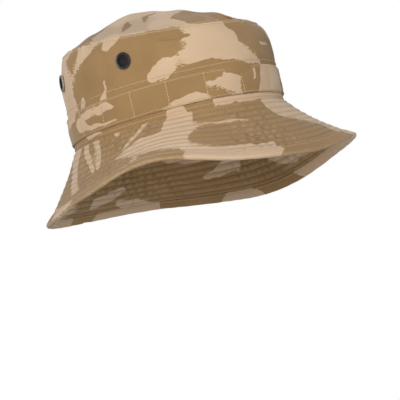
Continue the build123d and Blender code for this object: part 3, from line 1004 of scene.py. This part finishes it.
# %% The bound edge
BIND_OUT = 1.95           # its outside, from the middle of the brim
BIND_SEAM = 1.9           # its stitches, from its inner edge
BIND_THICK = 0.45


def binding_profile():
    """Runs and lifts across the strip, from its upper inner edge round the rim to its lower one."""
    inner = BRIM_WIDTH - BINDING
    over = BRIM_WIDTH - 0.6
    flat = np.linspace(inner, over, 9)
    shape = [(inner, 1.45), (inner + 0.25, 1.8)] + [(r, BIND_OUT) for r in flat[1:]]
    turn = np.radians(np.arange(75, -76, -15))
    shape += [(over + 1.55 * math.cos(a), BIND_OUT * math.sin(a)) for a in turn]
    shape += [(r, -BIND_OUT) for r in flat[1:][::-1]] + [(inner + 0.25, -1.8), (inner, -1.45)]
    return np.array(shape)


def binding_ripple(along, run):
    return 0.16 * uneven(along, run * 0.3, 8, 111) + 0.1 * uneven(along, run, 25, 112)


def binding_half(side):
    first, last = BENDS[side][0]
    profile = binding_profile()
    along = np.linspace(first, last, int((last - first) / CLOTH_STEP))[None, :]
    run = profile[:, :1]
    lift = profile[:, 1:]
    along, run, lift = np.broadcast_arrays(along, run, lift)
    upper = np.sign(lift)
    ripple = binding_ripple(along, run)
    groove = 0.28 * np.exp(-((run - (BRIM_WIDTH - BINDING) - BIND_SEAM) / 0.7)**2)
    edge_swell = 0.15 * ease(2.2, 5, run - (BRIM_WIDTH - BINDING))
    rim = np.sqrt(np.clip(np.abs(lift) / BIND_OUT, 0, 1))
    out = lift + upper * rim * (ripple + edge_swell - groove)
    rimless_run = run + (1 - rim) * (0.3 + 0.6 * ripple)
    base = wave(along, np.minimum(run, BRIM_WIDTH))
    face, _ = brim_layer(along, rimless_run, out + base)
    inner_run = np.minimum(run, BRIM_WIDTH + 0.35)
    back, _ = brim_layer(along, inner_run, (out - upper * BIND_THICK * np.maximum(rim, 0.5)) + base)
    across = np.concatenate([[0], np.cumsum(np.hypot(*np.diff(profile, axis=0).T))])
    strip = np.broadcast_to(across[:, None], run.shape)
    folded = np.where(strip < across[-1] / 2, strip, across[-1] - strip)
    field = print_on(along, folded, BINDING_SHAPES, 65)
    wear_and_painted_light = 0.7 * np.exp(-((strip - across[-1] / 2) / 1.6)**2)
    piece = cloth_piece(f"brim_binding_{side}_half", face, back, along, strip, [cotton_face, cotton_reverse],
                        field, wear_and_painted_light)
    bend(piece, side, "brim_binding")


for side in BENDS:
    binding_half(side)
    seams = []
    for towards in (1, -1):
        along = np.arange(*BENDS[side][0], CLOTH_STEP)
        run = BRIM_WIDTH - BINDING + BIND_SEAM + 0 * along
        lift = BIND_OUT - 0.24 + binding_ripple(along, run) + 0.05 + wave(along, run) * towards
        seams.append(brim_layer(along, run, lift, towards))
    bend(stitches(f"brim_binding_stitches_{side}", seams, None, 2.9, 0.25), side)

# %% [markdown]
# Inside the crown: a folded cotton sweatband sewn in along the brim seam, a tape over the raw
# edges of the tip seam, and a small blank label at the back.

# %% The inside
def inner_ring(node, name, low, high, outer, thick, finish, spread, step, bumps, seed):
    """A strip on the inside of the crown, its outside outer mm inside the cloth's outside."""
    along = np.linspace(-GIRTH / 2, GIRTH / 2, int(GIRTH / 2.5))[None, :]
    height = np.linspace(low, high, step)[:, None]
    along, height = np.broadcast_arrays(along, height)
    across = (height - low) / (high - low)
    soft = bumps * uneven(along, height, spread, seed) * np.sin(np.pi * across)**0.5
    from_edge = np.minimum(across, 1 - across) * (high - low)
    edge = 0.35 * thick * (1 - np.sqrt(np.clip(from_edge / 0.7, 0, 1)))
    face, _ = crown_layer(along, height, -outer - thick - np.abs(soft) + edge)
    back, _ = crown_layer(along, height, -outer - edge + 0 * along)
    piece = cloth_piece(name, face, back, along, height, [finish])
    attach(piece, "root")
    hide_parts(node)
    return piece


SWEAT_OUT, SWEAT_THICK = 0.95, 1.2       # the sweatband's outside, from the crown's, and its thickness
inner_ring("sweatband", "sweatband_cloth", -1.4, 31.0, SWEAT_OUT, SWEAT_THICK, sweat_cotton,
           30, 22, 0.35, 171)
TAPE_LOW, TAPE_HIGH = [STRAIGHT + SHOULDER_RISE * math.sin(math.radians(turn)) for turn in (30, 68)]
inner_ring("tip_seam_tape", "tip_seam_tape_cloth", TAPE_LOW, TAPE_HIGH, 1.6, 0.6, cotton_tape,
           9, 12, 0.3, 172)


def label_piece():
    along = np.linspace(GIRTH / 2 - 17, GIRTH / 2 + 17, 36)[None, :]
    height = np.linspace(7, 25, 20)[:, None]
    along, height = np.broadcast_arrays(along, height)
    curl = 0.5 * uneven(along, height, 22, 181)
    lift = -SWEAT_OUT - SWEAT_THICK - 0.55 - np.abs(curl) * 0.5
    face, _ = crown_layer(along, height, lift - 0.35)
    back, _ = crown_layer(along, height, lift)
    piece = cloth_piece("size_label_cloth", face, back, along, height, [satin_ribbon])
    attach(piece, "root")
    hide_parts("size_label")
    rim = []
    for height_at in (8.2, 23.8):
        places = np.arange(GIRTH / 2 - 16, GIRTH / 2 + 16, 1.0)
        line, normal = crown_layer(places, 0 * places + height_at, 0 * places - 3.2)
        rim.append((line, -normal))
    stitches("size_label_stitches", rim, "root", 2.2, 0.2)


label_piece()
sweat_rows = []
for height_at in (3.0, 28.6):
    line, normal = crown_layer(around, 0 * around + height_at, 0 * around - SWEAT_OUT - SWEAT_THICK - 0.1)
    sweat_rows.append((line, -normal))
stitches("sweatband_stitches", sweat_rows, "root", 3.1, 0.26)
print("inside: sweatband, tape, label")

# %% [markdown]
# The vents keep the frame's own eyelets and washers. Their screens become real woven wire:
# crossed wires 0.62 mm apart that pass over and under each other. The rim of an eyelet is
# turned over the cloth, so no stitches hold it.

# %% The vents
SCREEN_RADIUS, WIRE_SPACING, WIRE_RADIUS = 4.72, 0.62, 0.22


def vent_outward(angle):
    """The way a vent faces."""
    along = np.array([along_at(math.radians(angle))])
    return crown_layer(along, np.array([VENT_HEIGHT]), np.array([0.0]))[1][0]


def wire_screen(corner, angle):
    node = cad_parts[f"vent_screen_{corner}"]
    low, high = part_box(f"vent_screen_{corner}")
    centre = np.array((low + high) / 2) / MM
    out = vent_outward(angle)
    side = np.cross([0, 0, 1.0], out)
    side /= np.linalg.norm(side)
    up = np.cross(out, side)
    points, faces, uv = [], [], []
    for a, b, phase in ((side, up, 0), (up, side, 1)):
        for n, offset in enumerate(np.arange(-7, 8) * WIRE_SPACING):
            half = math.sqrt(max(SCREEN_RADIUS**2 - offset**2, 0.05))
            steps = np.linspace(-half, half, max(int(half * 2 / 0.27), 4))
            wave_up = 0.17 * np.cos(np.pi * steps / WIRE_SPACING + np.pi * (n + phase))
            line = centre + b * offset + steps[:, None] * a + wave_up[:, None] * out
            first = sum(len(p) for p in points)
            turn = np.arange(5) / 5 * math.tau
            ring = line[:, None] + WIRE_RADIUS * (b * np.cos(turn)[:, None] + out * np.sin(turn)[:, None])
            points.append(ring.reshape(-1, 3))
            uv.append(np.zeros((len(steps) * 5, 2)))
            for s in range(len(steps) - 1):
                here, there = first + s * 5, first + (s + 1) * 5
                faces += [[here + k, here + (k + 1) % 5, there + (k + 1) % 5, there + k] for k in range(5)]
            faces.append([first + k for k in range(4, -1, -1)])
            faces.append([first + (len(steps) - 1) * 5 + k for k in range(5)])
    piece = make_mesh(f"vent_screen_wires_{corner}", np.concatenate(points), faces, np.concatenate(uv), {},
                      np.zeros(len(faces)), [black_wire])
    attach(piece, "root")
    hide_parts(node.name)


def rim_wear(node, angle):
    """Marks the last 0.7 mm before the outer rim of an eyelet, where the paint is rubbed off."""
    places = np.empty(len(node.data.vertices) * 3)
    node.data.vertices.foreach_get("co", places)
    turn = np.array(node.matrix_world.to_3x3())
    places = (places.reshape(-1, 3) @ turn.T + np.array(node.matrix_world.translation)) / MM
    out = vent_outward(angle)
    low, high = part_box(node.name)
    offset = places - np.array((low + high) / 2) / MM
    offset -= np.outer(offset @ out, out)
    radius = np.linalg.norm(offset, axis=1)
    rim = ease(radius.max() - 0.7, radius.max() - 0.2, radius)
    node.data.attributes.new("rim", "FLOAT", "POINT").data.foreach_set("value", rim.astype(np.float32))
    return radius.max()


for corner, angle in VENTS.items():
    wire_screen(corner, angle)
    for part in ("eyelet", "washer"):
        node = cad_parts[f"vent_{part}_{corner}"]
        node.data.materials.clear()
        node.data.materials.append(black_brass)
        node.data.polygons.foreach_set("use_smooth", np.ones(len(node.data.polygons), bool))
        node.data.set_sharp_from_angle(angle=math.radians(40))
        if part == "eyelet":
            print(node.name, "rim radius", round(rim_wear(node, angle), 2), "mm")
kept = [node.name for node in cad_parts.values() if not node.hide_render]
print("the frame's own pieces that show:", kept)

# %% [markdown]
# The stage: a pale floor well below the hat, a white world and three large soft lamps, so the
# shadows in the puckers and under the brim stay gentle. The key stands to the wearer's right and
# a little in front, the fill before the left, and the last one above and behind.

# %% Floor, lamps and world
def floor_material():
    material, tree, shader = new_material("pale studio floor", Roughness=0.95)
    place = add(tree, "ShaderNodeTexCoord").outputs["Object"]
    grain = add(tree, "ShaderNodeTexNoise", {"Vector": place, "Scale": 3.0, "Detail": 2.0}).outputs["Fac"]
    tree.links.new(blend_colours(tree, grain, linear("#e6e6e5"), linear("#eeeeed")), shader.inputs["Base Color"])
    seen = add(tree, "ShaderNodeLightPath").outputs["Is Camera Ray"]
    shader.inputs["Emission Color"].default_value = (1, 1, 1, 1)
    tree.links.new(calculate(tree, "MULTIPLY", seen, 0.42), shader.inputs["Emission Strength"])
    return material


FLOOR = -0.9
floor_mesh = bpy.data.meshes.new("floor")
floor_mesh.from_pydata([(x, y, FLOOR) for x, y in ((-6, -6), (6, -6), (6, 6), (-6, 6))], [], [(0, 1, 2, 3)])
floor_mesh.materials.append(floor_material())
floor = bpy.data.objects.new("floor", floor_mesh)
bpy.context.scene.collection.objects.link(floor)


def lamp(name, place, size, power, colour):
    light = bpy.data.lights.new(name, "AREA")
    light.shape = "DISK"
    light.size = size
    light.energy = power
    light.color = linear(colour)[:3]
    holder = bpy.data.objects.new(name, light)
    holder.location = place
    holder.rotation_euler = (-Vector(place)).to_track_quat("-Z", "Y").to_euler()
    bpy.context.scene.collection.objects.link(holder)


lamp("key", (-2.0, -1.0, 0.75), 0.8, 40, "#fffdf8")
lamp("fill", (1.1, -2.0, 0.8), 1.5, 10, "#f8fbff")
lamp("top", (0.3, 1.4, 1.9), 1.5, 9, "#ffffff")

world = bpy.data.worlds.new("white studio")
bpy.context.scene.world = world
world.use_nodes = True
sky = world.node_tree
seen = add(sky, "ShaderNodeLightPath").outputs["Is Camera Ray"]
upward = add(sky, "ShaderNodeSeparateXYZ", {0: add(sky, "ShaderNodeTexCoord").outputs["Generated"]}).outputs[2]
walls = add(sky, "ShaderNodeMapRange", {0: upward, 1: 0.0, 2: 0.9, 3: 0.5, 4: 0.2}).outputs[0]
strength = add(sky, "ShaderNodeMapRange", {0: seen, 3: walls, 4: 1.0}).outputs[0]
background = sky.nodes["Background"]
background.inputs["Color"].default_value = (1, 1, 1, 1)
sky.links.new(strength, background.inputs["Strength"])
bpy.context.scene.view_settings.view_transform = "Standard"
print("lamps:", [light.name for light in bpy.data.lights])

# %% [markdown]
# The camera looks from the wearer's right and front, slightly from below, through a long lens,
# with the hat tipped a little in the frame.

# %% Camera
AZIMUTH, ELEVATION, ROLL = (math.radians(a) for a in (-47.83, -7.51, 12.92))
DISTANCE = 1.6
FOCAL = 166.5
AIM_RIGHT, AIM_UP = 0.01115, -0.03787      # where the middle of the frame lies off the origin's ray


def place_camera():
    back = Vector((math.sin(AZIMUTH) * math.cos(ELEVATION), -math.cos(AZIMUTH) * math.cos(ELEVATION),
                   math.sin(ELEVATION)))
    level = Vector((math.cos(AZIMUTH), math.sin(AZIMUTH), 0))
    plumb = back.cross(level)
    right = level * math.cos(ROLL) - plumb * math.sin(ROLL)
    up = level * math.sin(ROLL) + plumb * math.cos(ROLL)
    away = (back - right * AIM_RIGHT - up * AIM_UP).normalized()
    right = (right - away * right.dot(away)).normalized()
    up = away.cross(right)
    data = bpy.data.cameras.new("camera")
    data.lens = FOCAL
    data.sensor_width = 36
    camera = bpy.data.objects.new("camera", data)
    bpy.context.scene.collection.objects.link(camera)
    camera.matrix_world = Matrix((
        (right.x, up.x, away.x, back.x * DISTANCE), (right.y, up.y, away.y, back.y * DISTANCE),
        (right.z, up.z, away.z, back.z * DISTANCE), (0, 0, 0, 1)))
    bpy.context.scene.camera = camera


place_camera()
print("camera", DISTANCE, "m away, lens", FOCAL, "mm")
